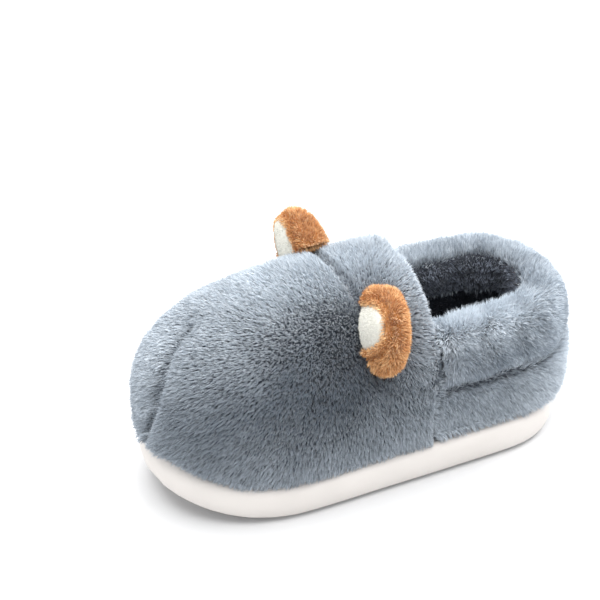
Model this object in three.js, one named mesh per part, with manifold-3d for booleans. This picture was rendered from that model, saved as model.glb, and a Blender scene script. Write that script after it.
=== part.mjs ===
// A plush house slipper for the left foot, in millimetres.
// X runs from heel to toe, Y to the wearer's left, which is the outer side, and Z up from the floor.
// The origin is on the flat underside of the sole, half way along it.
// The maker's pieces are a thick foam sole, a plush insole, a lasted plush upper, a padded
// collar cuff and two stuffed ears, each an outer shell with a pale pad in its hollow.
import * as THREE from "three";
import { mergeVertices } from "three/addons/utils/BufferGeometryUtils.js";
import Module from "manifold-3d";

const wasm = await Module();
wasm.setup();

// Driving sizes
const LENGTH = 265; // sole, from heel to toe
const BALL_WIDTH = 118; // sole, at its widest
const SOLE_HEIGHT = 23; // side wall of the sole
const SOLE_EDGE = 6; // rounding of the sole's lower edge
const TOE_SPRING = 13; // lift of the sole's underside at the toe
const HEEL_SPRING = 3; // lift of the sole's underside at the heel
const INSTEP_HEIGHT = 132; // top of the upper over the instep, from the floor
const WIDEST_HEIGHT = 54; // level at which the upper is widest, from the floor
const QUARTER_HEIGHT = 60; // top of the heel panel, where the cuff begins
const COLLAR_HEIGHT = 97; // top of the cuff, from the floor
const COLLAR_THICKNESS = 28; // padded cuff, from its inner to its outer side
const COLLAR_BULGE = 3; // cuff beyond the heel panel under it
const COLLAR_LEAN = 6; // lean of the cuff towards the ankle, over its height
const UPPER_WALL = 9; // plush, padding and lining together
const INSOLE_THICKNESS = 8;
const TOE_OVERHANG = 3; // plush beyond the sole at the toe
const HEEL_OVERHANG = 7; // vamp's form beyond the sole at the heel
const SIDE_OVERHANG = 1; // plush beyond the sole at each side
const LAST_BEND = 3; // shift of the toe towards the inner side
const VAMP_STEP = 3; // how far the vamp stands proud of the heel panel
const THROAT_AT = 101; // from the heel to the throat's corners
const THROAT_BOW = 3; // how much further forward the throat is at the middle
const VAMP_TUCK = 3; // how far the vamp turns in at its foot
const PANEL_TUCK = 1; // how far the heel panel turns in at its foot
const TOE_PLEAT_DEPTH = 3; // pleat down the middle of the toe
const TOE_PLEAT_WIDTH = 7;
const TOE_PLEAT_BOW = 13; // how far the pleat bows to the outer side half way up the toe
const BAND_WIDTH = 36; // band between the throat and the seam that holds the ears
const EAR_LENGTH = 51; // along its sewn base
const EAR_REACH = 31; // out of the upper
const EAR_THICKNESS = 26; // front to back
const EAR_PAD_LENGTH = 29;
const EAR_PAD_REACH = 26;
const EAR_PAD_THICKNESS = 12;
const EAR_PAD_FORWARD = 8; // pad's middle ahead of the shell's
const EAR_PAD_RAISE = 2; // pad's middle nearer to the crest than the shell's
const EAR_FROM_CREST = 47; // degrees from the crest of the instep, round the section
const EAR_SKEW = 3; // how far the inner ear sits ahead of the seam, and the outer one behind
const OUTER_EAR_TURN = 13; // degrees by which the outer ear's lower end turns towards the toe
const SEAT_GAP = 0.3; // between neighbouring pieces
const MERGE = 1e-4; // vertices closer than this are one

// How finely the curved solids are faceted
const FINE = { stations: 34, arch: 24, wall: 3 };
const PLAIN = { stations: 26, arch: 16, wall: 3 };
const EVEN_SHARE = 0.35; // 1 would space the stations evenly, and 0 crowd them at the ends
const THROAT_STEPS = 16;
const COLLAR_STEPS = 40;
const COLLAR_SIDES = 14;
const EAR_NUDGE = 0.05; // half the turn over which the base's direction is measured
const EAR_STEPS = 14;
const EAR_SIDES = 12;

// The last, a row for each station. Its ends are rounded afterwards.
// at: share of LENGTH from the heel; width: share of BALL_WIDTH;
// crest: share of INSTEP_HEIGHT; bend: share of LAST_BEND.
const LAST = [
  { at: 0.0, width: 0.91, crest: 0.78, bend: -0.4 },
  { at: 0.18, width: 0.93, crest: 0.88, bend: -0.5 },
  { at: 0.36, width: 0.95, crest: 0.99, bend: -0.4 },
  { at: 0.5, width: 0.97, crest: 1.0, bend: -0.1 },
  { at: 0.68, width: 1.0, crest: 0.97, bend: 0.3 },
  { at: 0.84, width: 0.985, crest: 0.93, bend: 0.8 },
  { at: 1.0, width: 0.93, crest: 0.9, bend: 1.0 },
];
const TOE_ROUND = { from: 0.7, power: 2.25 }; // plan view
const HEEL_ROUND = { from: 0.19, power: 2.25 };
const TOE_DOME = { from: 0.73, power: 2.25 }; // side view
const ARCH_POWER = 2.25; // fullness of the vamp's sections
const COLLAR_SQUARENESS = 0.72; // 1 makes the cuff's section an ellipse, and 0 an oblong
const COLLAR_CROWDING = 1.9; // power that crowds the cuff's rings round the heel
const EAR_OUTLINE = 0.8; // 1 makes the ear's outline half an ellipse, and 0 an oblong
const EAR_EDGE = 0.6; // the same for how its thickness falls off towards its corners
const PLEAT_FROM = 0.9; // share of LENGTH where the toe's pleat begins
const PLEAT_FULL = 0.98; // share of LENGTH where it is at its full depth
const SPRING_FROM = 0.7; // share of LENGTH where the toe begins to lift
const HEEL_LIFT_TO = 0.1; // share of LENGTH where the heel's lift ends
const TOE_CURVE = 2.4; // power of the toe's lift along the length
const HEEL_CURVE = 2; // power of the heel's lift
const TOP_RISE = 1.25; // rise of the sole's top against the lift of its underside
const BELLY_RISE = 0.6; // rise of the upper's widest level against that lift
const EDGE_GROWTH = 1.2; // how much rounder the sole's lower edge is where it is fully lifted

// Rows of the sole's side wall, from the tread up. inset: mm; level: share of SOLE_HEIGHT.
const SOLE_WALL = [
  { inset: SOLE_EDGE, level: 0 },
  { inset: SOLE_EDGE * 0.4, level: 0.07 },
  { inset: SOLE_EDGE * 0.12, level: 0.2 },
  { inset: 0, level: 0.42 },
  { inset: 0.4, level: 0.75 },
  { inset: 1.4, level: 0.92 },
  { inset: 3, level: 1 },
];

// The value of a table's column at a share along it, on a smooth curve through the rows
function along(table, column, at) {
  const last = table.length - 1;
  let i = 0;
  while (i < last - 1 && at > table[i + 1].at) i += 1;
  const row = (n) => table[Math.min(Math.max(n, 0), last)];
  const slope = (n) => {
    const run = row(n + 1).at - row(n - 1).at;
    return (row(n + 1)[column] - row(n - 1)[column]) / run;
  };
  const span = row(i + 1).at - row(i).at;
  const t = THREE.MathUtils.clamp((at - row(i).at) / span, 0, 1);
  const t2 = t * t;
  const t3 = t2 * t;
  return (
    (2 * t3 - 3 * t2 + 1) * row(i)[column] +
    (t3 - 2 * t2 + t) * span * slope(i) +
    (3 * t2 - 2 * t3) * row(i + 1)[column] +
    (t3 - t2) * span * slope(i + 1)
  );
}

// 1 in the middle of the length, falling to 0 at an end as a superellipse does
function rounding(at, round, endAt) {
  const run = Math.abs(endAt - round.from);
  const past = Math.max(0, (endAt > round.from ? at - round.from : round.from - at) / run);
  return (1 - Math.min(past, 1) ** round.power) ** (1 / round.power);
}

function planHalfWidth(at) {
  const half = (along(LAST, "width", at) * BALL_WIDTH) / 2;
  return half * rounding(at, TOE_ROUND, 1) * rounding(at, HEEL_ROUND, 0);
}

const bend = (at) => -along(LAST, "bend", at) * LAST_BEND;
const lengthwise = (at) => (at - 0.5) * LENGTH;
const shareAt = (x) => x / LENGTH + 0.5;

// Lift of the sole's underside at a share of the length
function lift(at) {
  const toe = Math.max(0, (at - SPRING_FROM) / (1 - SPRING_FROM));
  const heel = Math.max(0, 1 - at / HEEL_LIFT_TO);
  return TOE_SPRING * toe ** TOE_CURVE + HEEL_SPRING * heel ** HEEL_CURVE;
}

const soleTop = (at) => SOLE_HEIGHT + TOP_RISE * lift(at);

// Shares of the length, closer together towards the rounded ends
function stations(count) {
  return Array.from({ length: count + 1 }, (_, i) => {
    const even = i / count;
    return THREE.MathUtils.lerp(0.5 - 0.5 * Math.cos(Math.PI * even), even, EVEN_SHARE);
  });
}

// A solid from rings of points, each joined to the next. An end ring that is folded flat
// closes by itself, and any other is closed by a fan.
function solidFromRings(rings) {
  const sides = rings[0].length;
  const end = (rings.length - 1) * sides;
  const positions = rings.flat().flatMap((p) => [p.x, p.y, p.z]);
  const faces = [];
  for (let start = 0; start < end; start += sides) {
    for (let j = 0; j < sides; j += 1) {
      const k = (j + 1) % sides;
      faces.push(start + j, start + sides + j, start + sides + k);
      faces.push(start + j, start + sides + k, start + k);
    }
  }
  const isFlat = (ring) => ring.every((p, j) => p.distanceTo(ring[sides - 1 - j]) < MERGE);
  for (let j = 1; j < sides - 1; j += 1) {
    if (!isFlat(rings[0])) faces.push(0, j, j + 1);
    if (!isFlat(rings.at(-1))) faces.push(end, end + j + 1, end + j);
  }
  const geometry = new THREE.BufferGeometry();
  geometry.setAttribute("position", new THREE.Float32BufferAttribute(positions, 3));
  geometry.setIndex(faces);
  return solidFromGeometry(geometry);
}

// A manifold-3d solid from a three.js geometry, without the faces that have no area
function solidFromGeometry(geometry) {
  const bare = geometry.clone();
  bare.deleteAttribute("normal");
  bare.deleteAttribute("uv");
  const merged = mergeVertices(bare, MERGE);
  const index = merged.index.array;
  const faces = [];
  for (let i = 0; i < index.length; i += 3) {
    const [a, b, c] = index.slice(i, i + 3);
    if (a !== b && b !== c && c !== a) faces.push(a, b, c);
  }
  const build = (triVerts) =>
    new wasm.Manifold(
      new wasm.Mesh({
        numProp: 3,
        vertProperties: merged.attributes.position.array,
        triVerts: new Uint32Array(triVerts),
      }),
    );
  const solid = build(faces);
  return solid.volume() < 0 ? build(faces.toReversed()) : solid;
}

function geometryFromSolid(solid) {
  const { vertProperties, triVerts } = solid.getMesh();
  const geometry = new THREE.BufferGeometry();
  geometry.setAttribute("position", new THREE.BufferAttribute(vertProperties, 3));
  geometry.setIndex(new THREE.BufferAttribute(triVerts, 1));
  geometry.computeVertexNormals();
  return geometry;
}

// How far a row of the sole's wall lies inside the outline, more where the toe is lifted
const rowInset = (row, at) => row.inset * (1 + (EDGE_GROWTH * lift(at)) / TOE_SPRING);
const rowX = (row, at) => lengthwise(at) * (1 - rowInset(row, at) / (LENGTH / 2));

// Sole: its wall's rows run up the outer side, across the top and down the inner side
function makeSole() {
  const rings = stations(FINE.stations).map((at) => {
    const side = (row, hand) => {
      const half = planHalfWidth(at) * (1 - (2 * rowInset(row, at)) / BALL_WIDTH);
      const z = THREE.MathUtils.lerp(lift(at), soleTop(at), row.level);
      return new THREE.Vector3(rowX(row, at), bend(at) + hand * half, z);
    };
    const outer = SOLE_WALL.map((row) => side(row, 1));
    const inner = SOLE_WALL.map((row) => side(row, -1));
    return [...outer, ...inner.reverse()];
  });
  return solidFromRings(rings);
}

// Everything under a level that follows the sole's top, raised by a height
function spaceUnder(raise) {
  const ring = (x, at) => {
    const top = soleTop(at) + raise;
    return [
      new THREE.Vector3(x, -BALL_WIDTH, -SOLE_HEIGHT),
      new THREE.Vector3(x, BALL_WIDTH, -SOLE_HEIGHT),
      new THREE.Vector3(x, BALL_WIDTH, top),
      new THREE.Vector3(x, -BALL_WIDTH, top),
    ];
  };
  const rim = SOLE_WALL.at(-1);
  const rings = stations(FINE.stations).map((at) => ring(rowX(rim, at), at));
  return solidFromRings([ring(-LENGTH, 0), ...rings, ring(LENGTH, 1)]);
}

const throatX = (y) => {
  const reach = Math.min(1, Math.abs(y) / (BALL_WIDTH / 2));
  return lengthwise(THROAT_AT / LENGTH) + THROAT_BOW * (1 - reach ** 2);
};

// One point of the vamp's form. round: 0 at the widest level of the outer side,
// a half turn at that of the inner side. grow moves it outwards, by less near the tips.
function archPoint(at, round, grow) {
  const half = planHalfWidth(at);
  const tipShare = Math.min(1, (4 * half) / BALL_WIDTH);
  const wide = half + (SIDE_OVERHANG + grow) * tipShare;
  const base = WIDEST_HEIGHT + BELLY_RISE * lift(at);
  const rise = along(LAST, "crest", at) * INSTEP_HEIGHT + grow - base;
  const high = rise * rounding(at, TOE_DOME, 1);
  const c = Math.cos(round);
  const s = Math.sin(round);
  const overhang = grow + (at > 0.5 ? TOE_OVERHANG : HEEL_OVERHANG);
  return new THREE.Vector3(
    lengthwise(at) * (1 + overhang / (LENGTH / 2)),
    bend(at) + wide * Math.sign(c) * Math.abs(c) ** (2 / ARCH_POWER),
    base + high * Math.abs(s) ** (2 / ARCH_POWER),
  );
}

// A ring of the upper: up the outer side, over the arch and down the inner side
function upperRing(at, grow, tuck, mesh, creased) {
  const left = archPoint(at, 0, grow);
  const right = archPoint(at, Math.PI, grow);
  const foot = SOLE_HEIGHT / 2;
  const wall = (edge) =>
    Array.from({ length: mesh.wall }, (_, i) => {
      const down = 1 - i / mesh.wall;
      const inward = tuck * down ** 2;
      const keep = 1 - inward / (BALL_WIDTH / 2);
      return new THREE.Vector3(
        edge.x * (1 - inward / (LENGTH / 2)),
        bend(at) + (edge.y - bend(at)) * keep,
        THREE.MathUtils.lerp(edge.z, foot, down),
      );
    });
  const arch = Array.from({ length: mesh.arch + 1 }, (_, i) => {
    const round = (Math.PI * i) / mesh.arch;
    const p = archPoint(at, round, grow);
    return creased ? pleated(p, at) : p;
  });
  return [...wall(left), ...arch, ...wall(right).reverse()];
}

// The pleat down the toe, as a trough in the vamp's wall that bows to the outer side
function pleated(p, at) {
  const toePart = THREE.MathUtils.smoothstep(at, PLEAT_FROM, PLEAT_FULL);
  const top = INSTEP_HEIGHT * along(LAST, "crest", at);
  const rise = THREE.MathUtils.clamp((p.z - SOLE_HEIGHT) / (top - SOLE_HEIGHT), 0, 1);
  const aside = TOE_PLEAT_BOW * Math.sin(Math.PI * rise);
  const across = (2 * (p.y - bend(at) - aside)) / TOE_PLEAT_WIDTH;
  p.x -= toePart * TOE_PLEAT_DEPTH * Math.exp(-(across ** 2));
  return p;
}

function upperBody(grow, tuck, mesh = PLAIN, creased = false) {
  return solidFromRings(
    stations(mesh.stations).map((at) => upperRing(at, grow, tuck, mesh, creased)),
  );
}

// The space behind the throat, less a gap at its front
function spaceBehindThroat(back) {
  const rear = -LENGTH;
  const side = BALL_WIDTH;
  const shape = new THREE.Shape();
  shape.moveTo(rear, -side);
  for (let i = 0; i <= THROAT_STEPS; i += 1) {
    const y = side * ((2 * i) / THROAT_STEPS - 1);
    shape.lineTo(throatX(y) - back, y);
  }
  shape.lineTo(rear, side);
  const geometry = new THREE.ExtrudeGeometry(shape, {
    depth: 2 * INSTEP_HEIGHT,
    bevelEnabled: false,
  });
  geometry.translate(0, 0, -SOLE_HEIGHT);
  return solidFromGeometry(geometry);
}

// Everything over a level
function spaceOver(level) {
  const geometry = new THREE.BoxGeometry(2 * LENGTH, 2 * BALL_WIDTH, 2 * INSTEP_HEIGHT);
  geometry.translate(0, 0, level + INSTEP_HEIGHT);
  return solidFromGeometry(geometry);
}

// Upper: the proud vamp in front of the throat and the heel panel behind it, hollowed in one
function makeUpper() {
  const vamp = upperBody(0, VAMP_TUCK, FINE, true).subtract(spaceBehindThroat(0));
  const panel = upperBody(-VAMP_STEP, PANEL_TUCK)
    .intersect(spaceBehindThroat(-UPPER_WALL))
    .subtract(spaceOver(QUARTER_HEIGHT));
  const hollow = upperBody(-UPPER_WALL, 0);
  return vamp.add(panel).subtract(hollow).subtract(spaceUnder(SEAT_GAP));
}

function makeInsole() {
  const top = spaceUnder(SEAT_GAP + INSOLE_THICKNESS);
  return upperBody(-UPPER_WALL - SEAT_GAP, 0).intersect(top).subtract(spaceUnder(SEAT_GAP));
}

// Collar cuff: an oval roll that follows the heel panel from one throat corner to the other
function makeCollar() {
  const frontAt = shareAt(throatX(0) + COLLAR_THICKNESS / 4);
  const path = [];
  for (let i = 0; i <= COLLAR_STEPS; i += 1) {
    const way = (2 * i) / COLLAR_STEPS - 1;
    const at = frontAt * Math.abs(way) ** COLLAR_CROWDING;
    const edge = archPoint(at, way < 0 ? 0 : Math.PI, -VAMP_STEP);
    path.push(new THREE.Vector3(edge.x, edge.y, 0));
  }
  const height = COLLAR_HEIGHT - QUARTER_HEIGHT - SEAT_GAP;
  const rings = path.map((p, i) => {
    const before = path[Math.max(0, i - 1)];
    const after = path[Math.min(path.length - 1, i + 1)];
    const run = new THREE.Vector3().subVectors(after, before).normalize();
    const out = new THREE.Vector3(run.y, -run.x, 0);
    return collarSection(height).map((q) =>
      new THREE.Vector3(p.x, p.y, QUARTER_HEIGHT + SEAT_GAP + q.up).addScaledVector(out, q.out),
    );
  });
  return solidFromRings(rings).intersect(spaceBehindThroat(SEAT_GAP));
}

// The cuff's section: a rounded oblong that leans towards the ankle as it rises
function collarSection(height) {
  return Array.from({ length: COLLAR_SIDES }, (_, i) => {
    const turn = (2 * Math.PI * i) / COLLAR_SIDES;
    const soft = (v) => Math.sign(v) * Math.abs(v) ** COLLAR_SQUARENESS;
    const up = (height / 2) * (1 + soft(Math.sin(turn)));
    const out = (COLLAR_THICKNESS / 2) * (soft(Math.cos(turn)) - 1) + COLLAR_BULGE;
    return { out: out - (COLLAR_LEAN * up) / height, up };
  }).reverse();
}

// The frame of an ear: its middle on the upper, the way out of it, along its base and forward
function earFrame(hand) {
  const fromSide = THREE.MathUtils.degToRad(90 - EAR_FROM_CREST);
  const round = hand > 0 ? fromSide : Math.PI - fromSide;
  const at = shareAt(throatX(BALL_WIDTH / 4) + BAND_WIDTH - hand * EAR_SKEW);
  const base = new THREE.Vector3()
    .subVectors(archPoint(at, round + EAR_NUDGE, 0), archPoint(at, round - EAR_NUDGE, 0))
    .normalize();
  const forward = new THREE.Vector3(1, 0, 0);
  const out = new THREE.Vector3().crossVectors(base, forward).normalize();
  if (hand > 0) {
    const turn = -THREE.MathUtils.degToRad(OUTER_EAR_TURN);
    base.applyAxisAngle(out, turn);
    forward.applyAxisAngle(out, turn);
  }
  return { middle: archPoint(at, round, 0), base, out, forward };
}

// A stuffed half disc on an ear's frame: length along the base, reach, and thickness
function earBlob(frame, length, reach, thickness, forwardShift, baseShift) {
  const rings = [];
  for (let i = 0; i <= EAR_STEPS; i += 1) {
    const angle = (Math.PI * i) / EAR_STEPS;
    const along = (-length / 2) * Math.cos(angle) + baseShift;
    const tall = Math.max(0, Math.sin(angle)) ** EAR_OUTLINE;
    rings.push(
      Array.from({ length: EAR_SIDES }, (_, j) => {
        const turn = (2 * Math.PI * j) / EAR_SIDES;
        const out = reach * tall * Math.cos(turn);
        const ahead = (thickness / 2) * tall ** EAR_EDGE * Math.sin(turn) + forwardShift;
        return frame.middle
          .clone()
          .addScaledVector(frame.base, along)
          .addScaledVector(frame.out, out)
          .addScaledVector(frame.forward, ahead);
      }),
    );
  }
  return solidFromRings(rings);
}

function makeEar(hand) {
  const frame = earFrame(hand);
  const padBlob = (gap) =>
    earBlob(
      frame,
      EAR_PAD_LENGTH + 2 * gap,
      EAR_PAD_REACH + gap,
      EAR_PAD_THICKNESS + 2 * gap,
      EAR_PAD_FORWARD,
      hand * EAR_PAD_RAISE,
    );
  const upper = upperBody(SEAT_GAP, 0, FINE, true);
  const shell = earBlob(frame, EAR_LENGTH, EAR_REACH, EAR_THICKNESS, 0, 0);
  return {
    shell: shell.subtract(padBlob(SEAT_GAP)).subtract(upper),
    pad: padBlob(0).subtract(upper),
  };
}

const FINISH = {
  foam: { color: 0xece6dc, roughness: 0.7, metalness: 0 },
  plush: { color: 0x8494a3, roughness: 1, metalness: 0 },
  lining: { color: 0x565d68, roughness: 1, metalness: 0 },
  ear: { color: 0xc78350, roughness: 1, metalness: 0 },
  pad: { color: 0xe9e6dc, roughness: 1, metalness: 0 },
};

const slipper = new THREE.Group();

function addPiece(name, solid, finish) {
  const mesh = new THREE.Mesh(
    geometryFromSolid(solid),
    new THREE.MeshStandardMaterial(FINISH[finish]),
  );
  mesh.name = name;
  slipper.add(mesh);
}

addPiece("sole", makeSole(), "foam");
addPiece("insole", makeInsole(), "lining");
addPiece("upper", makeUpper(), "plush");
addPiece("collar_cuff", makeCollar(), "plush");
for (const [side, hand] of [
  ["outer", 1],
  ["inner", -1],
]) {
  const ear = makeEar(hand);
  addPiece(`ear_shell_${side}`, ear.shell, "ear");
  addPiece(`ear_pad_${side}`, ear.pad, "pad");
}

export default slipper;
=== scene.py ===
# %% [markdown]
# # A plush house slipper with ears
#
# The real slipper is a padded plush upper on a thick foam sole. What the eye sees first is the
# pile: thousands of short tufts that stand out of the cloth, so that the shoe is pale where the
# tufts are seen from the side and dark where one looks straight down between them.
#
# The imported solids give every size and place. This script lays soft skins over them, grows the
# pile on those skins, and lights the result.

# %% Tools and the frame
import math

import bmesh
import bpy
import numpy as np
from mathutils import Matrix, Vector
from mathutils.kdtree import KDTree


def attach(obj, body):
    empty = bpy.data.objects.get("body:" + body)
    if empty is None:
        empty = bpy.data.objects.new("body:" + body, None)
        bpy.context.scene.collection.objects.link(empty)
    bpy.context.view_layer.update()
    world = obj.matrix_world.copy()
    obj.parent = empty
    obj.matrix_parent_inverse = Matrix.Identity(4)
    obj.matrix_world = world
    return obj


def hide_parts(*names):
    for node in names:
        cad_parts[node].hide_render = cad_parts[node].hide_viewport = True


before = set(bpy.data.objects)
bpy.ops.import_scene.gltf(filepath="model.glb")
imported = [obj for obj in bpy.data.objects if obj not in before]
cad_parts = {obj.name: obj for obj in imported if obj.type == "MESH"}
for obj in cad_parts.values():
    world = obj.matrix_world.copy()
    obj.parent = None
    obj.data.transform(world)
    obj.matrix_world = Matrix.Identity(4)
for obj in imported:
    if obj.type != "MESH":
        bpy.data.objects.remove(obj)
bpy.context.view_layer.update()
MM = 0.001


# %% [markdown]
# ## Camera
#
# The picture looks down on the shoe's outer side from about 37 degrees. A long lens keeps the toe
# and the heel near the same scale, as in a shop picture. The camera could be shifted to bring the
# shoe a little right of the middle, but a shift stays when the camera moves to other views, so it
# is aimed a little past the shoe instead.

# %% Camera
PICTURE = 600
LENS_PIXELS = 2106
SENSOR = 36
VIEW_SIDE = math.radians(153)
VIEW_RISE = math.radians(36.9)
VIEW_FROM = 1.275
MIDDLE = Vector((0, 0, 0.039))
MIDDLE_AT = (351, 385)

towards = Vector(
    (
        math.sin(VIEW_SIDE) * math.cos(VIEW_RISE),
        -math.cos(VIEW_SIDE) * math.cos(VIEW_RISE),
        math.sin(VIEW_RISE),
    )
)
across = Vector((0, 0, 1)).cross(towards).normalized()
upward = towards.cross(across)
metres_a_pixel = VIEW_FROM / LENS_PIXELS
aim = MIDDLE - across * (MIDDLE_AT[0] - PICTURE / 2) * metres_a_pixel
aim = aim + upward * (MIDDLE_AT[1] - PICTURE / 2) * metres_a_pixel

camera_data = bpy.data.cameras.new("camera")
camera_data.sensor_width = SENSOR
camera_data.lens = SENSOR * LENS_PIXELS / PICTURE
camera_data.clip_start = 0.05
camera_data.clip_end = 20
camera = bpy.data.objects.new("camera", camera_data)
camera.location = MIDDLE + towards * VIEW_FROM
camera.rotation_mode = "QUATERNION"
camera.rotation_quaternion = (aim - camera.location).to_track_quat("-Z", "Y")
bpy.context.scene.collection.objects.link(camera)
bpy.context.scene.camera = camera
print("lens", round(camera_data.lens, 1), "mm, from", round(camera.location.length, 3), "m")

# %% [markdown]
# ## Shared helpers
#
# Every piece is a mesh in metres that rides on the one body, root. Thinking in millimetres is
# easier for a shoe, so the helpers below take and give millimetres and turn them into metres only
# where a mesh is read or written.

# %% Making and reading meshes
def add_piece(name, mesh, material, stands_for):
    piece = bpy.data.objects.new(name, mesh)
    bpy.context.scene.collection.objects.link(piece)
    mesh.materials.clear()
    mesh.materials.append(material)
    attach(piece, "root")
    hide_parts(*stands_for)
    return piece


def read_points(mesh):
    flat = np.empty(len(mesh.vertices) * 3)
    mesh.vertices.foreach_get("co", flat)
    return flat.reshape(-1, 3) / MM


def read_normals(mesh):
    flat = np.empty(len(mesh.vertices) * 3)
    mesh.vertices.foreach_get("normal", flat)
    return flat.reshape(-1, 3)


def write_points(mesh, points):
    mesh.vertices.foreach_set("co", (points * MM).ravel())
    mesh.update()


def unit(vectors):
    return vectors / np.maximum(np.linalg.norm(vectors, axis=1), 1e-9)[:, None]


print("helpers for meshes are ready")

# %% [markdown]
# Cloth is never quite even. A few slow waves in random directions, added up, make a smooth
# unevenness that is the same on every run because its random numbers start from a fixed seed.
# Three of them side by side make a swirl, which turns the pile a little here and there.

# %% Soft unevenness
WAVES = 7


def unevenness(points, size, seed):
    random = np.random.default_rng(seed)
    total = np.zeros(len(points))
    for _ in range(WAVES):
        direction = random.normal(size=3)
        direction /= np.linalg.norm(direction)
        pitch = size * random.uniform(0.7, 1.5)
        total += np.sin(points @ direction * 2 * np.pi / pitch + random.uniform(0, 6.28))
    return total / WAVES ** 0.5


def swirl(points, size, seeds):
    return np.stack([unevenness(points, size, seed) for seed in seeds], axis=1)


print("one wave of unevenness:", unevenness(np.zeros((1, 3)), 20, 1).round(3))

# %% [markdown]
# Most of what follows changes softly with a distance. A smooth step goes from nothing to all
# between two values, and a fade is all at its place and nothing some way off.

# %% Steps, fades and distances to a seam
def smooth_step(values, low, high):
    share = np.clip((values - low) / (high - low), 0, 1)
    return share * share * (3 - 2 * share)


def fade(distance, reach):
    return np.exp(-((distance / reach) ** 2))


def nearest_on_path(points, path):
    path = np.asarray(path, float)
    best = np.full(len(points), 1e9)
    nearest = np.zeros_like(points)
    for start, end in zip(path[:-1], path[1:]):
        step = end - start
        share = np.clip((points - start) @ step / (step @ step), 0, 1)
        spot = start + share[:, None] * step
        distance = np.linalg.norm(points - spot, axis=1)
        closer = distance < best
        best[closer] = distance[closer]
        nearest[closer] = spot[closer]
    return nearest


print("half way a smooth step gives", smooth_step(0.5, 0, 1), "and a fade ends near", round(fade(2, 1), 2))

# %% [markdown]
# ## Soft skins
#
# The solids are drawn with flat faces and crisp edges. A plush shoe has none, so each soft solid
# is copied, melted into an even skin with Blender's voxel remesh, and smoothed. A subdivision
# surface would keep the solid's own uneven faces, which show as dents once pile stands on them.

# %% Melting a solid into a skin
def soft_skin(node, voxel, rounds):
    work = bmesh.new()
    work.from_mesh(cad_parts[node].data)
    bmesh.ops.remove_doubles(work, verts=work.verts, dist=1e-5)
    mesh = bpy.data.meshes.new(node + "_skin")
    work.to_mesh(mesh)
    work.free()
    maker = bpy.data.objects.new("maker", mesh)
    bpy.context.scene.collection.objects.link(maker)
    melt = maker.modifiers.new("melt", "REMESH")
    melt.mode = "VOXEL"
    melt.voxel_size = voxel * MM
    calm = maker.modifiers.new("calm", "SMOOTH")
    calm.factor = 0.5
    calm.iterations = rounds
    bpy.context.view_layer.update()
    seen = maker.evaluated_get(bpy.context.evaluated_depsgraph_get())
    skin = bpy.data.meshes.new_from_object(seen)
    bpy.data.objects.remove(maker)
    skin.name = node + "_skin"
    skin.polygons.foreach_set("use_smooth", [True] * len(skin.polygons))
    print(node, "skin has", len(skin.polygons), "faces")
    return skin


upper_skin = soft_skin("upper", 2.2, 8)
cuff_skin = soft_skin("collar_cuff", 2.2, 8)

# %% [markdown]
# ### Where the seams run
#
# The seams are given as short paths in the shoe's own millimetres: x from heel to toe, y to the
# outer side, z up. The cross seam joins the vamp to the instep band and holds the ears. The side
# seams join the vamp to the heel panel, and the toe's pleat takes in the cloth at its tip. The
# ear's weight also drags a shallow crease into the cloth below it.

# %% Seam paths
CROSS_SEAM = [
    (10, -62, 84), (10, -50, 105), (10, -31, 122), (10.5, -19, 128.5), (11, -8, 131), (10.5, 7, 131),
    (9.5, 18, 129), (9, 26, 126), (8.6, 31, 122.5), (8, 45, 108), (8, 56, 88),
]
SIDE_SEAM_OUTER = [(-31, 57, 22), (-31, 58, 45), (-31, 57, 66), (-31, 52, 84), (-31, 44, 98)]
SIDE_SEAM_INNER = [(-31, -57, 22), (-31, -58, 45), (-31, -57, 66), (-31, -50, 84), (-31, -42, 98)]
TOE_PLEAT = [
    (133.5, 0, 38), (133.5, 3, 50), (133, 8, 62), (132.4, 10.2, 73), (127.4, 9.4, 88.7),
    (120.3, 4.3, 99), (112.5, 1.3, 106.5), (101, -2.8, 114),
]
EAR_DRAG = [(6, 55, 90), (5, 58, 76), (4, 59, 60)]
seams = {
    "cross": CROSS_SEAM,
    "outer side": SIDE_SEAM_OUTER,
    "inner side": SIDE_SEAM_INNER,
    "toe pleat": TOE_PLEAT,
}
for name, path in seams.items():
    lengths = np.linalg.norm(np.diff(np.array(path, float), axis=0), axis=1)
    print(name, "seam:", round(lengths.sum()), "mm")

# %% [markdown]
# ### Which side of the cloth is out
#
# The upper's skin is one closed surface with plush outside and lining inside. A line along the
# middle of the shoe's hollow tells the two apart: faces that look away from it are outside.

# %% Outer side and lining side
HEART_REAR = -80
HEART_FRONT = 72
HEART_HEIGHT = 42


def faces_out(points, normals):
    heart = np.zeros_like(points)
    heart[:, 0] = np.clip(points[:, 0], HEART_REAR, HEART_FRONT)
    heart[:, 2] = HEART_HEIGHT
    return (unit(points - heart) * normals).sum(1)


print("the heart line is", HEART_FRONT - HEART_REAR, "mm long")

# %% [markdown]
# ### Shaping the upper
#
# The solid's outer side stands for the tips of the pile, so the cloth itself lies a few
# millimetres deeper: deepest on the heel panel, whose plush lies below the vamp's padding, and
# least at the back of the heel, whose pile stands up. Only the outer side moves in: the lining
# stays where the foot needs it. Then each seam is pressed in as a soft trough.
#
# A seam's path lies on the tips of the pile. So the distance to it is taken from a point raised
# by the pile's height, and only along the cloth.

# %% Upper skin
PILE_SINK = 4.6
PANEL_SINK = 1
HEEL_BACK_RISE = 3.6
UPPER_UNEVEN = 0.5
SEAM_REACH = 5
TROUGHS = {
    "cross seam": (CROSS_SEAM, 1.6, 4),
    "outer side seam": (SIDE_SEAM_OUTER, 1.8, 3.5),
    "inner side seam": (SIDE_SEAM_INNER, 1.8, 3.5),
    "toe pleat": (TOE_PLEAT, 2, 5.5),
    "drag below the ear": (EAR_DRAG, 1.2, 6),
}


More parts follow.
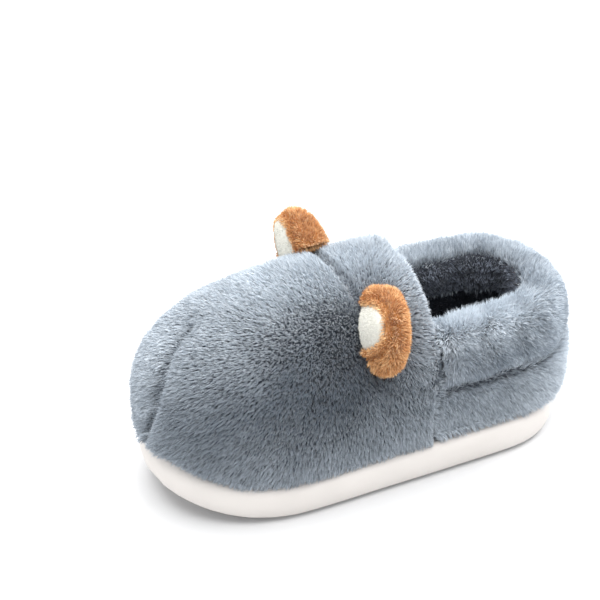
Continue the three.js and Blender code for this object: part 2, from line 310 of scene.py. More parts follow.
def from_seam(points, normals, path):
    raised = points + normals * PILE_SINK
    away = raised - nearest_on_path(raised, path)
    height = (away * normals).sum(1)
    flat = away - normals * height[:, None]
    beyond = np.maximum(np.abs(height) - SEAM_REACH, 0)
    return np.hypot(np.linalg.norm(flat, axis=1), beyond), flat


points = read_points(upper_skin)
normals = read_normals(upper_skin)
upper_out = faces_out(points, normals)
rearward = -points[:, 0]
heel_panel = smooth_step(rearward, 29, 33) * (1 - smooth_step(rearward, 45, 70))
heel_back = smooth_step(rearward, 75, 130)
sink = PILE_SINK + PANEL_SINK * heel_panel - HEEL_BACK_RISE * heel_back
sink = sink * smooth_step(upper_out, -0.1, 0.45)
points = points - normals * sink[:, None]
points = points + normals * (UPPER_UNEVEN * unevenness(points, 46, 3))[:, None]
for path, depth, width in TROUGHS.values():
    distance, _ = from_seam(points, normals, path)
    outer_share = smooth_step(upper_out, 0, 0.4)
    points = points - normals * (outer_share * depth * fade(distance, width))[:, None]
write_points(upper_skin, points)
print("upper skin sinks by up to", round(sink.max(), 1), "mm and has", len(TROUGHS), "troughs")

# %% [markdown]
# ### Shaping the cuff
#
# The cuff is a roll of plush filled with wadding. Its cloth also lies below the tips of the pile,
# less so where the roll turns into the opening, and it is a little uneven, as wadding is.

# %% Cuff skin
OPENING_REAR = -86
OPENING_FRONT = -26
OPENING_SIDE = 1
CUFF_SINK = 3.6
CUFF_INNER_RISE = 1.8
CUFF_UNEVEN = 0.7


def towards_opening(points):
    middle = points.copy()
    middle[:, 0] = np.clip(points[:, 0], OPENING_REAR, OPENING_FRONT)
    middle[:, 1] = OPENING_SIDE
    return unit(middle - points)


points = read_points(cuff_skin)
normals = read_normals(cuff_skin)
cuff_in = (towards_opening(points) * normals).sum(1)
cuff_sink = CUFF_SINK - CUFF_INNER_RISE * smooth_step(cuff_in, 0.2, 0.8)
points = points - normals * cuff_sink[:, None]
points = points + normals * (CUFF_UNEVEN * unevenness(points, 30, 5))[:, None]
write_points(cuff_skin, points)
print("cuff skin sinks by", round(cuff_sink.min(), 1), "to", round(cuff_sink.max(), 1), "mm")

# %% [markdown]
# ## Materials
#
# Every material is a Principled shader fed by a few nodes. The same three kinds come again and
# again, so each has a helper: noise in the object's own space, a ramp between two colours, and a
# bump. Painted pictures would need a file beside the script, and noise needs none.

# %% Nodes that the materials share
def new_material(name):
    material = bpy.data.materials.new(name)
    material.use_nodes = True
    shader = material.node_tree.nodes["Principled BSDF"]
    return material, material.node_tree, shader


def add_noise(tree, scale, detail, roughness=0.5):
    place = tree.nodes.new("ShaderNodeTexCoord")
    noise = tree.nodes.new("ShaderNodeTexNoise")
    noise.inputs["Scale"].default_value = scale
    noise.inputs["Detail"].default_value = detail
    noise.inputs["Roughness"].default_value = roughness
    tree.links.new(place.outputs["Object"], noise.inputs["Vector"])
    return noise.outputs["Fac"]


def add_ramp(tree, value, low, high):
    node = tree.nodes.new("ShaderNodeValToRGB")
    for stop, (position, colour) in zip(node.color_ramp.elements, (low, high)):
        stop.position = position
        stop.color = (*colour, 1)
    tree.links.new(value, node.inputs["Fac"])
    return node.outputs["Color"]


def add_bump(tree, height, strength, distance):
    node = tree.nodes.new("ShaderNodeBump")
    node.inputs["Strength"].default_value = strength
    node.inputs["Distance"].default_value = distance
    tree.links.new(height, node.inputs["Height"])
    return node


print("helpers for materials are ready")

# %% [markdown]
# ### Cloth under the pile
#
# Between the tufts one sees the backing: knitted cloth that catches no highlight, darker than its
# pile as painted shade at the foot of the pile. Its colour varies a little and fine bumps keep it
# from looking like plastic.

# %% Backing cloth
CLOTH_BUMP = 0.0008


def cloth_material(name, dark, light, grain, bump, roughness=0.9, sheen=0.2):
    material, tree, shader = new_material(name)
    mottle = add_noise(tree, grain, 6, 0.65)
    fuzz = add_noise(tree, grain * 3.5, 4)
    tone = add_ramp(tree, mottle, (0.35, dark), (0.68, light))
    rise = add_bump(tree, fuzz, bump, CLOTH_BUMP)
    tree.links.new(tone, shader.inputs["Base Color"])
    tree.links.new(rise.outputs["Normal"], shader.inputs["Normal"])
    shader.inputs["Roughness"].default_value = roughness
    shader.inputs["Sheen Weight"].default_value = sheen
    shader.inputs["Specular IOR Level"].default_value = 0.2
    return material


# The blue and tan backings are darker than their pile: painted shade at its foot.
blue_backing = cloth_material("blue_backing", (0.06, 0.07, 0.085), (0.13, 0.15, 0.18), 260, 0.5)
lining_cloth = cloth_material("lining_cloth", (0.035, 0.04, 0.05), (0.09, 0.1, 0.12), 260, 0.6)
tan_backing = cloth_material("tan_backing", (0.34, 0.14, 0.045), (0.5, 0.23, 0.08), 320, 0.5)
print("backing cloths:", blue_backing.name, lining_cloth.name, tan_backing.name)

# %% [markdown]
# The upper and the cuff have plush outside and a dark lining inside. One skin carries both cloths,
# and each face takes one of them by the side that it looks to.

# %% Dress the upper and the cuff
UPPER_LINED_BELOW = -0.25
CUFF_LINED_ABOVE = 0.72


def face_means(mesh, values):
    corners = np.empty(len(mesh.loops), int)
    mesh.loops.foreach_get("vertex_index", corners)
    starts = np.empty(len(mesh.polygons), int)
    mesh.polygons.foreach_get("loop_start", starts)
    counts = np.diff(np.append(starts, len(corners)))
    return np.add.reduceat(values[corners], starts) / counts


def line_with_cloth(piece, lined):
    piece.data.materials.append(lining_cloth)
    piece.data.polygons.foreach_set("material_index", lined.astype(int))
    print(piece.name, "has", lined.sum(), "lined faces of", len(lined))


upper = add_piece("upper_cloth", upper_skin, blue_backing, ["upper"])
line_with_cloth(upper, face_means(upper_skin, upper_out) < UPPER_LINED_BELOW)

cuff = add_piece("cuff_cloth", cuff_skin, blue_backing, ["collar_cuff"])
line_with_cloth(cuff, face_means(cuff_skin, cuff_in) > CUFF_LINED_ABOVE)

# %% [markdown]
# ## Foam sole
#
# The sole is moulded foam: smooth, matt cream, with soft edges where it left the mould. The
# remesh rounds its edges by about its own voxel, which is what a mould does. Fine ribs on the
# underside give it grip, and they are too shallow for the outline, so they are a bump in the
# material, only where a face looks straight down. Fine pores lie all over.

# %% Foam
LOOKS_DOWN = -0.85
RIB_BUMP = 0.0012
PORE_BUMP = 0.0003

foam, tree, shader = new_material("cream_foam")
cream = add_ramp(tree, add_noise(tree, 22, 5), (0.3, (0.715, 0.675, 0.64)), (0.72, (0.77, 0.73, 0.695)))
place = tree.nodes.new("ShaderNodeTexCoord")
ribs = tree.nodes.new("ShaderNodeTexWave")
ribs.inputs["Scale"].default_value = 95
ribs.inputs["Distortion"].default_value = 0
facing = tree.nodes.new("ShaderNodeNewGeometry")
facing_z = tree.nodes.new("ShaderNodeSeparateXYZ")
under = tree.nodes.new("ShaderNodeMath")
under.operation = "LESS_THAN"
under.inputs[1].default_value = LOOKS_DOWN
grip = tree.nodes.new("ShaderNodeMath")
grip.operation = "MULTIPLY"
tree.links.new(place.outputs["Object"], ribs.inputs["Vector"])
tree.links.new(facing.outputs["Normal"], facing_z.inputs["Vector"])
tree.links.new(facing_z.outputs["Z"], under.inputs[0])
tree.links.new(under.outputs["Value"], grip.inputs[0])
tree.links.new(ribs.outputs["Fac"], grip.inputs[1])
pore_rise = add_bump(tree, add_noise(tree, 1500, 3), 0.12, PORE_BUMP)
grip_rise = add_bump(tree, grip.outputs["Value"], 0.8, RIB_BUMP)
tree.links.new(pore_rise.outputs["Normal"], grip_rise.inputs["Normal"])
tree.links.new(grip_rise.outputs["Normal"], shader.inputs["Normal"])
tree.links.new(cream, shader.inputs["Base Color"])
shader.inputs["Roughness"].default_value = 0.62
shader.inputs["Specular IOR Level"].default_value = 0.35
print("foam has", len(tree.nodes), "nodes")

# %% Foam sole
sole_skin = soft_skin("sole", 2.1, 4)
sole = add_piece("foam_sole", sole_skin, foam, ["sole"])
print("sole:", [round(size / MM) for size in sole.dimensions], "mm")

# %% [markdown]
# ## Insole
#
# A foam sheet under dark plush. It is barely seen through the opening, where it catches the least
# light of all, and its top is a little uneven, as foam under cloth is.

# %% Insole
INSOLE_UNEVEN = 0.5

insole_skin = soft_skin("insole", 2.4, 5)
points = read_points(insole_skin)
top_side = smooth_step(read_normals(insole_skin)[:, 2], 0.3, 0.9)
points[:, 2] += top_side * INSOLE_UNEVEN * unevenness(points, 24, 9)
write_points(insole_skin, points)
insole = add_piece("insole_pad", insole_skin, lining_cloth, ["insole"])
print("insole:", [round(size / MM) for size in insole.dimensions], "mm")

# %% [markdown]
# ## Ears
#
# Each ear is a stuffed tan half disc with a white pad sewn into its hollow. The pads are a
# closely shorn fleece that shows no single tuft: fine bumps make its surface. A pad bulges
# towards the toe in its middle and dives into the shell at both ends, and the shell's lower end
# lies back. Two directions do for both: the way from the shoe to the ear's crest, and the way
# that the ear faces.

# %% How the ears are shaped
EAR_WAYS = {
    "outer": (np.array([-0.225, -0.69, 0.68]), np.array([0.97, -0.16, 0.16])),
    "inner": (np.array([0, 0.71, 0.7]), np.array([1, 0, 0])),
}
PAD_BULGE = 0.4
PAD_DIVE = 3.4
PAD_FLATTEN = 0.17
SHELL_LIES_BACK = 4.5


def shape_pad(points, to_crest, forward):
    centred = points - points.mean(axis=0)
    up = centred @ to_crest
    bulge = PAD_BULGE - PAD_DIVE * (up / np.abs(up).max()) ** 2
    return points + forward * (bulge - PAD_FLATTEN * centred @ forward)[:, None]


def shape_shell(points, to_crest, forward):
    centred = points - points.mean(axis=0)
    low = smooth_step(-centred @ to_crest, 6, 25)
    front = smooth_step(centred @ forward, -2, 10)
    return points - forward * (SHELL_LIES_BACK * low * front)[:, None]


def distance_finder(mesh):
    points = read_points(mesh)
    tree = KDTree(len(points))
    for index, point in enumerate(points):
        tree.insert(point, index)
    tree.balance()
    return lambda spots: np.array([tree.find(spot)[2] for spot in spots])


print("the ears", " and ".join(EAR_WAYS), "have their ways")

# %% [markdown]
# The shell's cloth lies below the tips of its pile, as the upper's does, but it rises close to
# the pad, so that no gap shows between the two.

# %% Ear skins
EAR_RISE_AT_PAD = 1
EAR_SINK_AWAY = 2.8

white_fleece = cloth_material(
    "white_fleece", (0.66, 0.65, 0.59), (0.76, 0.75, 0.69), 480, 0.2, roughness=0.95, sheen=0.3
)
ear_skins = {}
for side, ways in EAR_WAYS.items():
    pad_skin = soft_skin("ear_pad_" + side, 1.2, 6)
    write_points(pad_skin, shape_pad(read_points(pad_skin), *ways))
    pad = add_piece("ear_white_" + side, pad_skin, white_fleece, ["ear_pad_" + side])
    from_pad = distance_finder(pad_skin)
    shell_skin = soft_skin("ear_shell_" + side, 1.5, 6)
    points = read_points(shell_skin)
    ear_sink = EAR_SINK_AWAY * smooth_step(from_pad(points), 1.5, 5) - EAR_RISE_AT_PAD
    points = points - read_normals(shell_skin) * ear_sink[:, None]
    write_points(shell_skin, shape_shell(points, *ways))
    shell = add_piece("ear_" + side, shell_skin, tan_backing, ["ear_shell_" + side])
    ear_skins[side] = (shell_skin, pad_skin, from_pad)
print("ears:", ", ".join(ear_skins))

# %% [markdown]
# ## The pile
#
# Blender can grow hair with a particle system or hair curves, but both reach other programs badly.
# Here the pile is an ordinary mesh. Each strand is a slim kite of two triangles, and strands stand
# together in tufts whose tips meet, because plush fibres cling to each other. One mesh holds up to
# 95,000 strands, so the shoe's pile is split by region.
#
# First the tufts need places. They are strewn over the faces by area, so that the pile is equally
# dense everywhere, and a weight at each point keeps them off where no pile grows.

# %% Spots for the tufts
def scatter(mesh, weight, count, random):
    mesh.calc_loop_triangles()
    corners = np.empty(len(mesh.loop_triangles) * 3, int)
    mesh.loop_triangles.foreach_get("vertices", corners)
    corners = corners.reshape(-1, 3)
    points = read_points(mesh)
    normals = read_normals(mesh)
    a, b, c = (points[corners[:, i]] for i in range(3))
    areas = np.linalg.norm(np.cross(b - a, c - a), axis=1) / 2
    shares = areas * weight[corners].mean(1)
    total = np.cumsum(shares)
    even = (np.arange(count) + random.uniform(0, 1, count)) / count
    chosen = np.searchsorted(total, even * total[-1])
    first = np.sqrt(random.uniform(0, 1, count))
    second = random.uniform(0, 1, count)
    blend = np.stack([1 - first, first * (1 - second), first * second], axis=1)[:, :, None]
    spots = (points[corners[chosen]] * blend).sum(1)
    directions = unit((normals[corners[chosen]] * blend).sum(1))
    return spots, directions, total[-1]


print("tufts are set by the area of each face")

# %% [markdown]
# The strand's look is kept in its texture coordinates: u is how pale this strand is, and v runs
# from its root to its tip. One small material then colours the whole pile from these two numbers
# alone. Each strand's corners get slightly different values of u, so that its two triangles have an
# area in the chart.

# %% Turning strands into a mesh
KITE = np.array([0, 2, 1, 1, 2, 3])
CHART_U = np.array([0, 0.012, -0.012, -0.012, 0.012, 0])
CHART_V = np.array([0.02, 0.5, 0.5, 0.5, 0.5, 0.98])


def build_pile(name, root, middle, tip, half_width, paleness):
    count = len(root)
    points = np.stack([root, middle - half_width, middle + half_width, tip], axis=1).reshape(-1, 3)
    mesh = bpy.data.meshes.new(name)
    mesh.vertices.add(len(points))
    mesh.vertices.foreach_set("co", (points * MM).ravel())
    corners = (np.arange(count)[:, None] * 4 + KITE).ravel()
    mesh.loops.add(len(corners))
    mesh.loops.foreach_set("vertex_index", corners)
    mesh.polygons.add(count * 2)
    mesh.polygons.foreach_set("loop_start", np.arange(count * 2) * 3)
    mesh.update(calc_edges=True)
    chart = mesh.uv_layers.new(name="OFBake")
    u = np.clip(paleness, 0.03, 0.97)[:, None] + CHART_U
    v = np.broadcast_to(CHART_V, u.shape)
    chart.data.foreach_set("uv", np.stack([u, v], axis=2).ravel())
    return mesh


print("a strand takes", len(KITE) // 3, "triangles")

# %% [markdown]
# A pile is told by its looks and its make. The looks are three functions of place: how long the
# tufts are, how they are combed, and how pale they are. The make is how many strands stand in a
# tuft, how wide one is and how far they spread, in millimetres. A tuft leans by the cloth's own
# normal and by the comb. Each strand bends at its middle and turns its flat side mostly outwards.

# %% Growing a pile
LEAN_SCATTER = 0.1
ROOT_BELOW_CLOTH = 0.5
BEND_AT = 0.52
TIPS_TOGETHER = 0.7
FLAT_SIDE_OUT = 2.2


def grow(name, mesh, weight, strands, looks, make, seed, mix=0.07):
    length, comb, tone = looks
    a_tuft, width, spread = make
    random = np.random.default_rng(seed)
    tufts = strands // a_tuft
    spots, normals, area = scatter(mesh, weight, tufts, random)
    side = unit(np.cross(normals, unit(random.normal(size=(tufts, 3)))))
    other = np.cross(normals, side)
    leaning = unit(normals + comb(spots, normals) + random.normal(size=(tufts, 3)) * LEAN_SCATTER)
    reach = length(spots, normals) * random.uniform(0.88, 1.08, tufts)
    pale = tone(spots, normals) + random.normal(size=tufts) * mix * 0.6
    spots, normals, side, other, leaning = (
        np.repeat(values, a_tuft, axis=0) for values in (spots, normals, side, other, leaning)
    )
    reach = np.repeat(reach, a_tuft) * random.uniform(0.75, 1.08, tufts * a_tuft)
    pale = np.repeat(pale, a_tuft) + random.normal(size=tufts * a_tuft) * mix
    offset = random.normal(size=(tufts * a_tuft, 2)) * spread
    offset = side * offset[:, :1] + other * offset[:, 1:]
    jitter = random.normal(size=spots.shape) * spread * 0.3
    root = spots + offset - normals * ROOT_BELOW_CLOTH
    middle = spots + offset * 0.95 + unit(normals * 0.7 + leaning) * (reach * BEND_AT)[:, None]
    tip = spots + offset * TIPS_TOGETHER + leaning * reach[:, None] + jitter
    turned = normals * FLAT_SIDE_OUT + random.normal(size=spots.shape)
    across_strand = unit(np.cross(leaning, turned))
    pile = build_pile(name, root, middle, tip, across_strand * width / 2, pale)
    density = round(len(root) / area, 1)
    print(name, "has", len(pile.polygons), "triangles,", density, "strands a square millimetre")
    return pile


print("a pile's tips meet at", TIPS_TOGETHER, "of the spread of its roots")

# %% [markdown]
# The pile's material goes from the root's colour to the tip's, and u picks the shade of both. The
# dark root colour is painted shade deep in the pile, and in a pale strand even the root is pale.
# The fibres are matt, with a soft sheen where they are seen from the side.

# %% Pile material
ROOT_UNTIL = 0.12
TIP_FROM = 0.72
PAINTED_ROOT_SHADE_UNTIL = 0.35
PALEST_ROOT = 0.95
BLACK = (0, 0, 0)
WHITE = (1, 1, 1)


def pile_material(name, root, deep_tip, pale_tip, sheen):
    material, tree, shader = new_material(name)
    chart = tree.nodes.new("ShaderNodeUVMap")
    chart.uv_map = "OFBake"
    parts = tree.nodes.new("ShaderNodeSeparateXYZ")
    tree.links.new(chart.outputs["UV"], parts.inputs["Vector"])
    pale_root = [PALEST_ROOT * channel for channel in pale_tip]
    tip_shade = add_ramp(tree, parts.outputs["X"], (0, deep_tip), (1, pale_tip))
    # Painted shade at the roots, less of it in pale strands.
    root_painted_shade = add_ramp(tree, parts.outputs["X"], (PAINTED_ROOT_SHADE_UNTIL, root), (1, pale_root))
    along = add_ramp(tree, parts.outputs["Y"], (ROOT_UNTIL, BLACK), (TIP_FROM, WHITE))
    blend = tree.nodes.new("ShaderNodeMix")
    blend.data_type = "RGBA"
    tree.links.new(along, blend.inputs["Factor"])
    tree.links.new(root_painted_shade, blend.inputs["A"])
    tree.links.new(tip_shade, blend.inputs["B"])
    tree.links.new(blend.outputs["Result"], shader.inputs["Base Color"])
    shader.inputs["Roughness"].default_value = 0.88
    shader.inputs["Specular IOR Level"].default_value = 0.15
    shader.inputs["Sheen Weight"].default_value = sheen
    shader.inputs["Sheen Roughness"].default_value = 0.5
    return material


blue_plush = pile_material("blue_plush", (0.085, 0.1, 0.123), (0.17, 0.213, 0.265), (0.78, 0.84, 0.9), 0.4)
cuff_plush = pile_material("cuff_plush", (0.15, 0.175, 0.21), (0.2, 0.25, 0.31), (0.82, 0.88, 0.94), 0.4)
dark_plush = pile_material("dark_plush", (0.04, 0.046, 0.06), (0.1, 0.115, 0.15), (0.4, 0.45, 0.54), 0.3)
tan_plush = pile_material("tan_plush", (0.28, 0.1, 0.025), (0.55, 0.21, 0.05), (1, 0.69, 0.37), 0.4)
white_plush = pile_material("white_plush", (0.66, 0.65, 0.59), (0.72, 0.71, 0.65), (0.84, 0.835, 0.78), 0.3)
print("five plush finishes")

# %% [markdown]
# ### Seams in the pile
#
# Along a seam the stitches hold the pile short and part it to both sides, which is what makes a
# seam show in plush at all. Each seam has a width in millimetres and a strength. At the throat,
# the edge where the foot goes in, the pile is short as well.

# %% Seams and the throat
THROAT_PLANE = -30
BODY_SEAMS = (
    (CROSS_SEAM, 1.5, 0.9),
    (SIDE_SEAM_OUTER, 1.7, 1),
    (SIDE_SEAM_INNER, 1.7, 1),
    (TOE_PLEAT, 1.4, 0.75),
)


def seam_pull(spots, normals):
    hold = np.zeros(len(spots))
    part = np.zeros_like(spots)
    for path, width, strength in BODY_SEAMS:
        distance, away = from_seam(spots, normals, path)
        hold = np.maximum(hold, strength * fade(distance, width))
        part += unit(away) * (strength * fade(distance, 2 * width))[:, None]
    return hold, part


def throat_rim(spots, normals):
    at_throat = fade(spots[:, 0] - THROAT_PLANE, 7) * (spots[:, 2] > 92)
    return at_throat * smooth_step(-normals[:, 0], -0.1, 0.7)


print(len(BODY_SEAMS), "seams part the pile")

# %% [markdown]
# ### How the body's pile lies
#
# It stands almost straight out. It is brushed towards the toe, more so further forward, and down
# near the sole. On the instep band it is brushed back a little, and on the heel panel up, under
# the cuff. Where the comb would push it into the cloth, most of that push is taken off.

# %% Comb and length of the body's pile
PILE = 6


def body_comb(spots, normals):
    rearward = -spots[:, 0]
    height = spots[:, 2]
    band = (height > 84) * (spots[:, 0] > THROAT_PLANE - 4)
    forward = np.clip(0.22 + 0.0055 * spots[:, 0], -0.35, 0.85)
    forward -= 0.55 * smooth_step(rearward, 4, 26) * band
    down = 0.1 + 0.5 * smooth_step(-height, -60, -24)
    down -= 0.4 * smooth_step(height, 50, 58) * smooth_step(rearward, 30, 34)
    brushed = np.stack([forward, 0 * forward, -down], axis=1)
    _, part = seam_pull(spots, normals)
    comb = brushed + swirl(spots, 22, (11, 12, 13)) * 0.05 + part * 0.6
    along_normal = (comb * normals).sum(1)[:, None]
    return comb - normals * np.minimum(along_normal, 0) * 0.8


def body_length(spots, normals):
    hold, _ = seam_pull(spots, normals)
    length = PILE * (1 - 0.75 * hold) * (1 + 0.06 * unevenness(spots, 14, 21))
    length = length * (1 + 0.25 * smooth_step(-spots[:, 0], 75, 130))
    return length * (1 - 0.5 * throat_rim(spots, normals))


print("the body's pile is", PILE, "mm long")

# %% [markdown]
# ### How pale the body's pile is
#
# Plush is pale where its tips catch the light and dark where it opens, and much of that light and
# shade is painted into the pile here. The top gets painted light, less of it on the instep band,
# and the heel's back and the toe's tip get painted rim light. The seams and the edge under the cuff
# get painted shade, and so do three patches on the outer side, where one looks down into the pile.
# The darkest patch lies ahead of the outer ear.

# %% Shades of the body's pile
CUFF_SEAM_HEIGHT = 62
EVEN_TONE = 0.47
TOP_PAINTED_LIGHT = 0.3
SEAM_PAINTED_SHADE = 0.35
BAND_LESS_PAINTED_LIGHT = 0.11
UNDER_CUFF_PAINTED_SHADOW = 0.24
PAINTED_SHADE_PATCHES = (((34, 49, 98), 32, 0.8), ((108, 40, 84), 34, 0.26), ((70, 54, 88), 32, 0.26))


def body_tone_and_painted_light(spots, normals):
    hold, _ = seam_pull(spots, normals)
    forward = spots[:, 0]
    # Painted light on the top, by how much the cloth faces up.
    top_light = np.clip(normals[:, 2], 0, 1)
    # Painted shade along the seams, where the pile is held short.
    tone = EVEN_TONE + 0.04 * unevenness(spots, 34, 31) + TOP_PAINTED_LIGHT * top_light - SEAM_PAINTED_SHADE * hold
    # Painted shade in three patches on the outer side, where one looks down into the pile.
    for place, reach, strength in PAINTED_SHADE_PATCHES:
        tone -= strength * fade(np.linalg.norm(spots - place, axis=1), reach)
    # The rear a little paler, and painted rim light on the heel's back.
    tone += 0.06 * smooth_step(-forward, -20, 30) + 0.3 * smooth_step(-forward, 80, 125)
    # More painted light on the top away from the toe, and less of it on the instep band.
    tone += 0.12 * top_light * smooth_step(-forward, -85, -55)
    tone -= BAND_LESS_PAINTED_LIGHT * top_light * smooth_step(-forward, -10, 0) * (forward > THROAT_PLANE)
    # Painted rim light on the toe's tip.
    tone += 0.12 * smooth_step(forward, 105, 130) * smooth_step(-spots[:, 1], -25, 0)
    # Painted shadow under the cuff's edge.
    under_cuff_shadow = fade(spots[:, 2] - CUFF_SEAM_HEIGHT + 3, 3) * smooth_step(-forward, 30, 36)
    return tone + 0.05 * throat_rim(spots, normals) - UNDER_CUFF_PAINTED_SHADOW * under_cuff_shadow


print("the body's pile has", len(PAINTED_SHADE_PATCHES), "dark patches")

# %% [markdown]
# ### Pile of the upper
#
# The pile covers the outer side down to where the sole begins, and leaves the turned-in edge
# under it bare. The mix says how much single strands differ in shade. It is least on the toe,
# where the brushed plush is smoothest.

# %% Pile of the upper
TOE_PILE_FROM = 52
SOLE_LINE = 24
BODY_LOOKS = (body_length, body_comb, body_tone_and_painted_light)
BODY_MAKE = (4, 0.36, 0.45)

skin_points = read_points(upper_skin)
skin_normals = read_normals(upper_skin)
forward = skin_points[:, 0]
covered = smooth_step(upper_out, -0.45, -0.2) * (skin_points[:, 2] > SOLE_LINE)
covered = covered * ((skin_normals[:, 2] > -0.7) | (skin_points[:, 2] > 60))
on_band = (forward < TOE_PILE_FROM) * (forward > THROAT_PLANE)
regions = {
    "toe_pile": (covered * (forward >= TOE_PILE_FROM), 95000, 0.05),
    "instep_pile": (covered * on_band, 95000, 0.06),
    "heel_pile": (covered * (forward <= THROAT_PLANE), 60000, 0.17),
}
for index, (name, (weight, strands, mix)) in enumerate(regions.items()):
    pile = grow(name, upper_skin, weight, strands, BODY_LOOKS, BODY_MAKE, 100 + index, mix)
    add_piece(name, pile, blue_plush, ["upper"])

# %% [markdown]
# ### Pile of the cuff
#
# The cuff's plush is longer and paler. It stands out all round the roll, falls outwards over the
# seam below it, and stops at the inner edge, where the lining is sewn on. Where the roll meets
# the upper it is held short and gets painted shade. The top of the roll gets painted light,
# most on its outer side.

# %% Pile of the cuff
CUFF_MAKE = (5, 0.4, 0.65)


def cuff_hold(spots, normals):
    outside = smooth_step(-(towards_opening(spots) * normals).sum(1), 0, 0.4)
    return outside * fade(spots[:, 2] - CUFF_SEAM_HEIGHT, 3.4)


def cuff_comb(spots, normals):
    outwards = -towards_opening(spots)
    lift = np.array([0, 0, 1]) * (-0.3 * cuff_hold(spots, normals) - 0.12)[:, None]
    forward = np.array([1, 0, 0]) * (0.6 * smooth_step(spots[:, 0], -50, -34))[:, None]
    return outwards * 0.2 + lift + forward + swirl(spots, 16, (41, 42, 43)) * 0.12


def cuff_length(spots, normals):
    inside = (towards_opening(spots) * normals).sum(1)
    length = 7.4 - 3.4 * smooth_step(inside, 0.1, 0.8)
    return length * (1 - 0.5 * cuff_hold(spots, normals)) * (1 + 0.08 * unevenness(spots, 12, 44))


def cuff_tone_and_painted_light(spots, normals):
    # Painted light on the top of the roll, most on its outer side and least at the back, and painted shade
    # where the roll meets the upper.
    near_side = smooth_step(spots[:, 1], 5, 40) * (1 - 0.85 * smooth_step(-spots[:, 0], 80, 112))
    top_light = np.clip(normals[:, 2], 0, 1) * (0.18 + 0.44 * near_side)
    return 0.41 + 0.08 * unevenness(spots, 20, 45) + top_light - 0.28 * cuff_hold(spots, normals)


skin_points = read_points(cuff_skin)
skin_normals = read_normals(cuff_skin)
inside = (towards_opening(skin_points) * skin_normals).sum(1)
front_end = smooth_step(skin_normals[:, 0], 0.75, 0.95) * (skin_points[:, 0] > -40)
weight = 1 - smooth_step(inside, 0.6, 0.8)
weight = weight * (1 - smooth_step(-skin_normals[:, 2], 0.55, 0.85))
weight = weight * (1 - front_end)
looks = (cuff_length, cuff_comb, cuff_tone_and_painted_light)
pile = grow("cuff_pile", cuff_skin, weight, 95000, looks, CUFF_MAKE, 140, 0.2)
add_piece("cuff_pile", pile, cuff_plush, ["collar_cuff"])

# %% [markdown]
# ### Lining
#
# Short dark plush lines the shoe, and one faint fold runs round it: a line of painted shade in the
# pile, with no dent in the cloth. Only what the opening can show gets pile. The toe box keeps its
# bare cloth, because nobody sees into it.

# %% Pile of the lining
LINING_FOLD_SHADE_HEIGHT = 80
SEEN_UNTIL = 30
LINING_STRANDS = 8000
LINING_MAKE = (4, 0.42, 0.9)


def lining_comb(spots, normals):
    return swirl(spots, 12, (51, 52, 53)) * 0.3 + np.array([0, 0, -0.15])


def lining_length(spots, normals):
    return 2.6 + 0.3 * unevenness(spots, 10, 54)


def lining_tone_and_fold_shade(spots, normals):
    # Painted shade along the fold line.
    fold_shade = fade(spots[:, 2] - LINING_FOLD_SHADE_HEIGHT - 1.5 * unevenness(spots, 60, 56), 1.3)
    return 0.42 + 0.06 * unevenness(spots, 14, 55) - 0.4 * fold_shade


def insole_tone_painted_light(spots, normals):
    # Painted light: the insole's pile is much paler than the lining's, against the shade in the opening.
    return 0.95 + 0.05 * unevenness(spots, 14, 55)


def line_with_pile(name, mesh, weight, tone, seed, node):
    looks = (lining_length, lining_comb, tone)
    pile = grow(name, mesh, weight, LINING_STRANDS, looks, LINING_MAKE, seed)
    add_piece(name, pile, dark_plush, [node])


line_with_pile("cuff_lining_pile", cuff_skin, smooth_step(inside, 0.6, 0.8), lining_tone_and_fold_shade, 150, "collar_cuff")

skin_points = read_points(insole_skin)
weight = (read_normals(insole_skin)[:, 2] > 0.6) * (skin_points[:, 0] < SEEN_UNTIL)
line_with_pile("insole_pile", insole_skin, weight, insole_tone_painted_light, 151, "insole")

skin_points = read_points(upper_skin)
weight = (upper_out < -0.3) * (skin_points[:, 0] < SEEN_UNTIL) * (skin_points[:, 2] > 30)
line_with_pile("upper_lining_pile", upper_skin, weight, lining_tone_and_fold_shade, 152, "upper")

# %% [markdown]
# ### Ears
#
# The tan pile is short and upright. Where it meets the pad there is a lip and then a groove: the
# seam's stitches pull it down there. The lip gets a painted highlight and the groove painted
# shade. The fleece of the pads gets a thin down, just enough to soften its outline.

# %% Pile of the ears
SHELL_MAKE = (4, 0.3, 0.45)
DOWN_MAKE = (4, 0.22, 0.4)


def ear_comb(spots, normals):
    return swirl(spots, 9, (61, 62, 63)) * 0.22 + np.array([0, 0, -0.1])


def down_length(spots, normals):
    return 0.7 + 0.1 * unevenness(spots, 8, 66)


def down_tone(spots, normals):
    return 0.5 + 0.1 * unevenness(spots, 12, 65)


def shell_looks(from_pad):
    def shell_length(spots, normals):
        groove = fade(from_pad(spots) - 2.4, 1.8)
        return (3.7 + 0.3 * unevenness(spots, 8, 64)) * (1 - 0.55 * groove)

    def shell_tone_and_painted_light(spots, normals):
        away = from_pad(spots)
        # Painted shade in the groove and a painted highlight on the lip by the pad.
        return down_tone(spots, normals) - 0.5 * fade(away - 3.4, 0.9) + 0.2 * fade(away, 2)

    return shell_length, ear_comb, shell_tone_and_painted_light


for index, (side, (shell_skin, pad_skin, from_pad)) in enumerate(ear_skins.items()):
    name = "ear_pile_" + side
    weight = np.ones(len(shell_skin.vertices))
    pile = grow(name, shell_skin, weight, 20000, shell_looks(from_pad), SHELL_MAKE, 160 + index, 0.3)
    add_piece(name, pile, tan_plush, ["ear_shell_" + side])
    name = "pad_pile_" + side
    weight = np.ones(len(pad_skin.vertices))
    looks = (down_length, ear_comb, down_tone)
    pile = grow(name, pad_skin, weight, 6000, looks, DOWN_MAKE, 170 + index)
    add_piece(name, pile, white_plush, ["ear_pad_" + side])

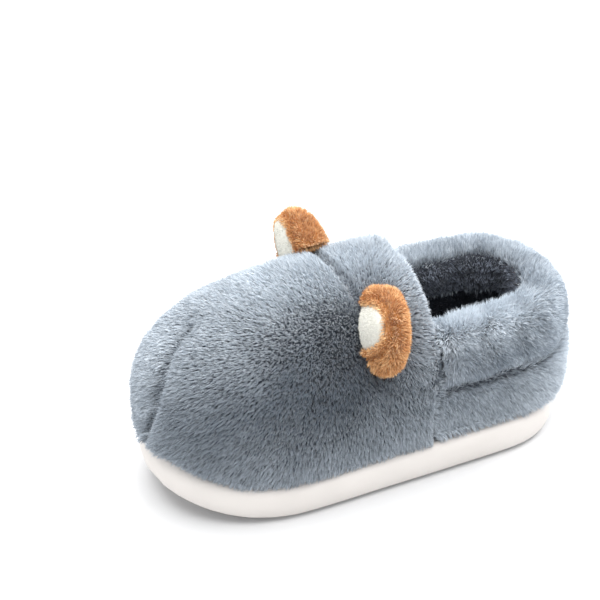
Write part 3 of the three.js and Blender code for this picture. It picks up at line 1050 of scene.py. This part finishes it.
# %% [markdown]
# ## Floor
#
# A shop picture has a white floor that runs into a white background. This one is wide enough to
# fill the picture's view, and it lies a hair below the sole, because two faces at one height
# would show through each other.

# %% Floor
REACH = 6
UNDER = -0.0003

floor_mesh = bpy.data.meshes.new("floor")
floor_mesh.from_pydata(
    [(-REACH, -REACH, UNDER), (REACH, -REACH, UNDER), (REACH, REACH, UNDER), (-REACH, REACH, UNDER)],
    [],
    [(0, 1, 2, 3)],
)
floor = bpy.data.objects.new("floor", floor_mesh)
bpy.context.scene.collection.objects.link(floor)
paper, tree, shader = new_material("white_paper")
shader.inputs["Base Color"].default_value = (0.7, 0.705, 0.715, 1)
shader.inputs["Roughness"].default_value = 0.9
shader.inputs["Specular IOR Level"].default_value = 0.1
floor.data.materials.append(paper)
print("floor", 2 * REACH, "m wide")

# %% [markdown]
# ## Light
#
# A large soft lamp hangs almost straight above the shoe, so that the tops are bright and only a
# weak shadow lies round the sole. A small lamp behind the heel lights the cuff's rim. The white
# room fills the rest. Sharper lamps would draw each strand's shadow, which shop pictures avoid.

# %% Light
world = bpy.data.worlds.new("white_room")
world.use_nodes = True
world.node_tree.nodes["Background"].inputs["Color"].default_value = (0.97, 0.985, 1, 1)
world.node_tree.nodes["Background"].inputs["Strength"].default_value = 0.84
bpy.context.scene.world = world


def soft_lamp(name, place, size, power, colour):
    data = bpy.data.lights.new(name, "AREA")
    data.shape = "DISK"
    data.size = size
    data.energy = power
    data.color = colour
    lamp = bpy.data.objects.new(name, data)
    lamp.location = place
    lamp.rotation_mode = "QUATERNION"
    lamp.rotation_quaternion = (MIDDLE - Vector(place)).to_track_quat("-Z", "Y")
    bpy.context.scene.collection.objects.link(lamp)


soft_lamp("key", (-0.1, -0.16, 1.4), 2.2, 48, (1, 0.99, 0.975))
soft_lamp("rim", (-1.4, -0.3, 0.5), 0.9, 12, (0.97, 0.985, 1))
view = bpy.context.scene.view_settings
view.view_transform = "Standard"
view.look = "None"
print("two lamps and a white room")
